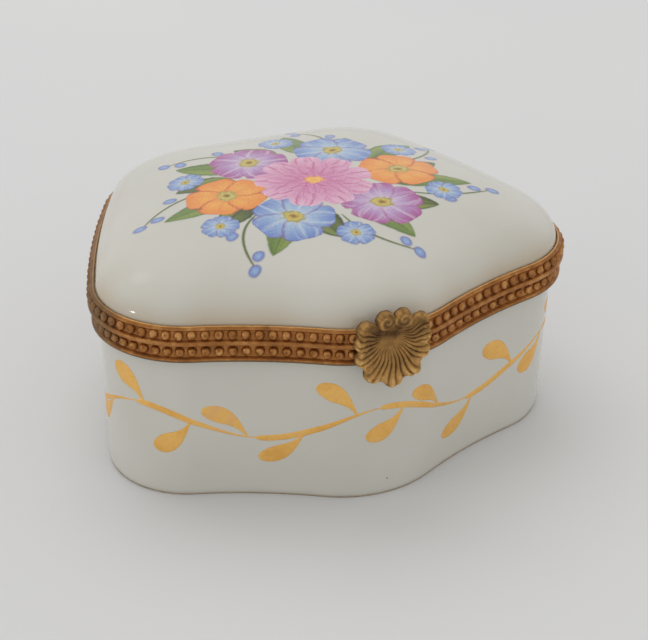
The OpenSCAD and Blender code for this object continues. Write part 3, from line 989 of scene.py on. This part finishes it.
SKY, PALE_SKY, DEEP_SKY, VIOLET = (158, 182, 216), (208, 216, 222), (114, 138, 200), (112, 98, 162)
MAGENTA, LILAC, PALE_LILAC = (172, 88, 150), (188, 156, 200), (224, 214, 222)
ORANGE, AMBER, YELLOW, BRICK = (238, 144, 72), (244, 176, 86), (248, 212, 122), (196, 78, 54)
ROSE, PINK, BLUSH = (188, 88, 134), (214, 142, 182), (232, 190, 210)
GREEN, LIME, OLIVE, DARK_GREEN = (84, 114, 60), (156, 168, 86), (108, 112, 58), (56, 68, 46)

POSY_MID = np.array([0.0, -1.0])       # middle of the printed posy, in mm
POSY_REACH = np.array([25.0, 21.0])    # how far it spreads to the side and to the back
BLOOM_R = 11.0                         # radius of the full flower in the middle
FLOWERS, FLOWER_R = 6, 7.4             # open flowers in a ring round it
LEAVES, SPRAYS = 14, 7                 # leaves all round, and stems of buds between them


def around_point(middle, reach, degrees):
    a = math.radians(degrees)
    return middle + reach * np.array([math.cos(a), math.sin(a)])


def posy_point(share, degrees):
    """A point at a share of the posy's reach, in a direction."""
    return around_point(POSY_MID, share * POSY_REACH, degrees)


def paint_ring(p, middle, radius, count, turn, colors, rim):
    """A ring of round petals that just overlap."""
    for k in range(count):
        tip = around_point(middle, radius, 360 / count * k + turn)
        p.petal(middle, tip, 5 / count * radius, colors, 0, (0.6, 0.24), rim=rim, rim_width=0.2,
                hairs=(colors[0], 0.6), ragged=0.05)


def paint_flower(p, middle, radius, turn, colors, rim):
    """One open flower of five petals with a speckled eye."""
    paint_ring(p, middle, radius, 5, turn, colors, rim)
    p.disc(middle, (0.28 * radius, 0.24 * radius), turn, LIME, YELLOW, rim=OLIVE, ragged=0.16)
    p.disc(middle, (0.13 * radius, 0.11 * radius), turn, OLIVE, AMBER, ragged=0.2)


def paint_foliage(p):
    """Curved stems of three buds each, under long and short leaves by turns."""
    for k in range(SPRAYS):
        turn = 360 / SPRAYS * k + 12
        stem = [posy_point(0.7, turn), posy_point(1.05, turn + 6), posy_point(1.34, turn + 17)]
        p.ribbon(stem, 0.5, [GREEN, OLIVE])
        for share, swing in ((1.08, 2), (1.22, 16), (1.36, 17)):
            p.disc(posy_point(share, turn + swing), (1.3, 1.0), turn, SKY, DEEP_SKY, rim=VIOLET)
    for k in range(LEAVES):
        turn = 360 / LEAVES * k
        side = 1 if k % 2 else -1
        tip = posy_point(1.12 + 0.08 * side, turn + 7)
        p.leaf(posy_point(0.6, turn), tip, 5.8, (DARK_GREEN, GREEN)[k % 2], LIME, 0.7 * side, side)


def paint_flower_ring(p):
    """Open flowers round the middle one, in three colours by turns, with small ones between."""
    for k in range(FLOWERS):
        paint_flower(p, posy_point(1.0, 360 / FLOWERS * (k + 0.5)), 0.46 * FLOWER_R, 20 * k,
                     [PALE_SKY, SKY, DEEP_SKY], VIOLET)
    looks = (([ORANGE, AMBER, ORANGE], BRICK), ([PALE_SKY, SKY, DEEP_SKY], VIOLET),
             ([PALE_LILAC, LILAC, MAGENTA], MAGENTA))
    for k in range(FLOWERS):
        colors, rim = looks[k % len(looks)]
        paint_flower(p, posy_point(0.68, 360 / FLOWERS * k), FLOWER_R, 31 * k, colors, rim)


def paint_full_flower(p):
    """A many-petalled flower: rings of petals, smaller and deeper in colour towards its heart."""
    rings = 4
    for k in range(rings):
        depth = k / (rings - 1)
        colors, rim = [ROSE, PINK, blend(BLUSH, PINK, depth)], blend(BLUSH, ROSE, depth)
        paint_ring(p, POSY_MID, BLOOM_R * (1 - 0.68 * depth), 9 - k, 23 * k, colors, rim)
    p.disc(POSY_MID, (1.7, 1.5), 0, AMBER, YELLOW, rim=ORANGE, ragged=0.16)


def paint_bouquet(x, y):
    """Screen colours and coverage of the posy at points of the plan, in mm."""
    p = Painting(x, y)
    paint_foliage(p)
    paint_flower_ring(p)
    paint_full_flower(p)
    return p.color, p.cover


PRINT_STEP = 0.17                      # between the print's points, in mm
PRINT_LOW = POSY_MID - 1.5 * POSY_REACH
PRINT_HIGH = POSY_MID + 1.5 * POSY_REACH


def make_bouquet():
    """The printed skin of the lid: a fine net of coloured points wherever there is paint."""
    xs = np.arange(PRINT_LOW[0], PRINT_HIGH[0], PRINT_STEP)
    ys = np.arange(PRINT_LOW[1], PRINT_HIGH[1], PRINT_STEP)
    x, y = [grid.ravel() for grid in np.meshgrid(xs, ys)]
    color, cover = paint_bouquet(x, y)
    cover[cover < 0.01] = 0
    faces = grid_faces(len(ys), len(xs), False, False)
    faces = faces[cover[faces].max(1) > 0]
    used, faces = np.unique(faces, return_inverse=True)
    faces = faces.reshape(-1, 4)
    x, y, color, cover = x[used], y[used], color[used], cover[used]
    height = dome_height(x * MM, y * MM) + np.where(cover > 0, 0.03, -0.02) * MM
    obj = make_mesh("lid_bouquet", np.column_stack([x * MM, y * MM, height]), faces, painted_porcelain)
    put_attribute(obj, "paint", np.column_stack([screen_to_linear(color), cover]))
    return obj


# ---------------------------------------------------------------- gold garland
def gold_leaf(points, width, blunt):
    """A brushed leaf on the wall from its blunt tip to its stalk, as a thin closed solid.
    Its points are in mm: how far round the box, and how high. Also says which verts are its edges."""
    t = np.linspace(0, 1, 44) ** 1.15
    middle = curve_through(points, t)
    way = np.gradient(middle, axis=0)
    way /= np.linalg.norm(way, axis=1)[:, None]
    across = np.stack([-way[:, 1], way[:, 0]], 1)
    round_tip = np.sqrt(np.clip(1 - (1 - np.minimum(t / blunt, 1)) ** 2, 0, 1))
    taper = np.clip((t - 0.3) / 0.7, 0, 1)
    half = width / 2 * (0.06 + 0.94 * round_tip) * (1 - 0.88 * taper * taper * (3 - 2 * taper))
    v = np.array([-1, -0.88, -0.6, -0.3, 0, 0.3, 0.6, 0.88, 1])
    flat = middle[:, None, :] + across[:, None, :] * (half[:, None] * v)[:, :, None]
    raised = 0.07 * (1 - v ** 6) - 0.02
    top = [wall_point(flat[:, k, 0], flat[:, k, 1], raised[k]) for k in range(len(v))]
    below = [wall_point(flat[:, k, 0], flat[:, k, 1], -0.06) for k in range(len(v) - 2, 0, -1)]
    rows = np.stack(top + below)
    count, length = rows.shape[:2]
    faces = [tuple(f) for f in grid_faces(count, length, True, False)]
    for end in (0, length - 1):
        faces.append(tuple(range(end, count * length, length)))
    edge = np.zeros(rows.shape[:2])
    edge[[0, len(v) - 1]] = 0.8
    return rows.reshape(-1, 3), faces, edge.ravel()


def wall_point(s, z, lift):
    points, normals = plan(s * MM)
    inset = wall_inset(z * MM) - lift * MM
    return np.column_stack([strayed(points + normals * inset[:, None], z * MM), z * MM])


GARLAND_Z = 0.54 * BAND_Z / MM         # height of the vine's middle, in mm
GARLAND_RISE = 3.2                     # height of its crests above that
GARLAND_BENDS = 12                     # even, so that the vine closes
GARLAND_LEAVES = 28
LEAF_LENGTH, LEAF_WIDTH, LEAF_BOW = 9.6, 4.4, 1.5
LEAF_TURN = math.radians(34)           # between a leaf and level
STEM_WIDTH = 1.3


def vine(share):
    """A point of the vine's stem, at a share of the way round the box."""
    z = GARLAND_Z + GARLAND_RISE * math.cos(math.pi * GARLAND_BENDS * share)
    return np.array([share * LENGTH / MM, z])


def make_garland():
    """A gold vine: a stem brushed in one stroke to each bend, and leaves on its two sides by turns."""
    strokes = []
    for bend in range(GARLAND_BENDS):
        points = [vine((bend + u) / GARLAND_BENDS) for u in np.linspace(-0.06, 1.04, 5)]
        strokes.append((points, STEM_WIDTH, 0.1))
    for k in range(GARLAND_LEAVES):
        side = 1 if k % 2 else -1
        joint = vine((k + 0.4) / GARLAND_LEAVES)
        tip = joint + LEAF_LENGTH * np.array([-math.cos(LEAF_TURN), side * math.sin(LEAF_TURN)])
        middle = (joint + tip) / 2 + (0, side * LEAF_BOW)
        strokes.append(([tip, middle, joint], LEAF_WIDTH * (0.88 + 0.12 * math.sin(5 * k)), 0.34))
    verts, faces, edges = [], [], []
    for points, width, blunt in strokes:
        leaf_verts, leaf_faces, leaf_edge = gold_leaf(points, width, blunt)
        faces += [tuple(i + len(verts) for i in f) for f in leaf_faces]
        verts += list(leaf_verts)
        edges += list(leaf_edge)
    obj = outward(make_mesh("gold_garland", verts, faces, gold, sharp_angle=70))
    put_attribute(obj, "edge", np.array(edges))
    return obj


# ---------------------------------------------------------------- camera, floor and light
AIM = math.radians(-21.04)         # how far the camera stands round to the left
RISE = math.radians(28.84)         # how far up it looks down from
DISTANCE = 338 * MM
RIGHTWARD, UPWARD = 2.24 * MM, 14.4 * MM
LENS = 94.4                        # mm on a sensor 36 mm wide

back = Vector((math.sin(AIM) * math.cos(RISE), -math.cos(AIM) * math.cos(RISE), math.sin(RISE)))
right = Vector((math.cos(AIM), math.sin(AIM), 0))
camera = bpy.data.objects.new("camera", bpy.data.cameras.new("camera"))
camera.data.lens = LENS
camera.data.sensor_width = 36
camera.data.clip_start = 10 * MM
camera.location = back * DISTANCE + right * RIGHTWARD + back.cross(right) * UPWARD
camera.rotation_euler = back.to_track_quat("Z", "Y").to_euler()
bpy.context.scene.collection.objects.link(camera)
bpy.context.scene.camera = camera
bpy.context.scene.view_settings.view_transform = "Standard"


def area_light(name, place, target, size, power, color=(1, 1, 1), mirrored=True):
    lamp = bpy.data.lights.new(name, "AREA")
    lamp.shape = "DISK"
    lamp.size = size
    lamp.energy = power
    lamp.color = color
    obj = bpy.data.objects.new(name, lamp)
    obj.location = place
    obj.visible_glossy = mirrored
    obj.rotation_euler = (Vector(place) - Vector(target)).to_track_quat("Z", "Y").to_euler()
    bpy.context.scene.collection.objects.link(obj)


MIDDLE = (0, 0, 25 * MM)
area_light("sky", (-0.03, 0.5, 1.0), MIDDLE, 1.0, 2.7, (0.97, 0.98, 1.0), False)
area_light("glint", (-0.85, -0.06, 0.09), MIDDLE, 0.08, 0.3)
area_light("window", (-0.46, 0.5, 0.8), MIDDLE, 0.26, 0.1)

world = bpy.data.worlds.new("studio")
world.use_nodes = True
world.node_tree.nodes["Background"].inputs["Color"].default_value = (1.0, 0.995, 0.98, 1)
world.node_tree.nodes["Background"].inputs["Strength"].default_value = 0.7
bpy.context.scene.world = world


def make_floor():
    size = 4.0
    mesh = bpy.data.meshes.new("floor")
    corners = [(-size, -size, 0), (size, -size, 0), (size, size, 0), (-size, size, 0)]
    mesh.from_pydata(corners, [], [(0, 1, 2, 3)])
    obj = bpy.data.objects.new("floor", mesh)
    bpy.context.scene.collection.objects.link(obj)
    material, nodes, links, shader = new_material("floor")
    tone = noise(nodes, links, object_coordinates(nodes), 6, 2)
    shade = ramp(nodes, links, tone, [(0.3, linear(223, 223, 224)), (0.7, linear(226, 226, 226))])
    links.new(shade, shader.inputs["Base Color"])
    shader.inputs["Roughness"].default_value = 0.8
    shader.inputs["Specular IOR Level"].default_value = 0.1
    mesh.materials.append(material)


# ---------------------------------------------------------------- the pieces
def show(piece, body, slot, *nodes):
    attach(piece, body)
    if nodes:
        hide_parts(*nodes)


make_floor()
show(make_bowl(), "base", "porcelain", "base_bowl")
show(make_garland(), "base", "gold")
show(make_bedding("base_cement", BASE_IN, BAND_Z + 0.82 * MM, SEAM_Z - 0.5 * MM, BAND_Z + 0.82 * MM),
     "base", "cement", "base_bedding")
show(make_base_band(), "base", "bands", "base_band")
show(make_beads("base_beads", SEAM_Z - 1.45 * MM, BASE_IN), "base", "beads", "base_beading")
show(make_stud(), "base", "tongue", "catch_stud")
show(make_hinge_leaf("hinge_leaf_base_brass", -1, 0), "base", "hinge", "hinge_leaf_base")
show(make_hinge_pin(), "base", "pin", "hinge_pin")
show(make_lid(), "lid", "porcelain", "lid_dome")
show(make_bouquet(), "lid", "bouquet")
show(make_bedding("lid_cement", 0, LID_Z + 0.5 * MM, TOP_Z - 0.42 * MM, TOP_Z - 0.42 * MM), "lid",
     "cement", "lid_bedding")
show(make_lid_band(), "lid", "bands", "lid_band")
show(make_beads("lid_beads", TOP_Z - 1.5 * MM, 0), "lid", "beads", "lid_beading")
show(make_hinge_leaf("hinge_leaf_lid_brass", 1, 1), "lid", "hinge", "hinge_leaf_lid")
show(make_shell(), "lid", "shell", "clasp_shell")
show(make_tongue(), "lid", "tongue", "clasp_tongue")
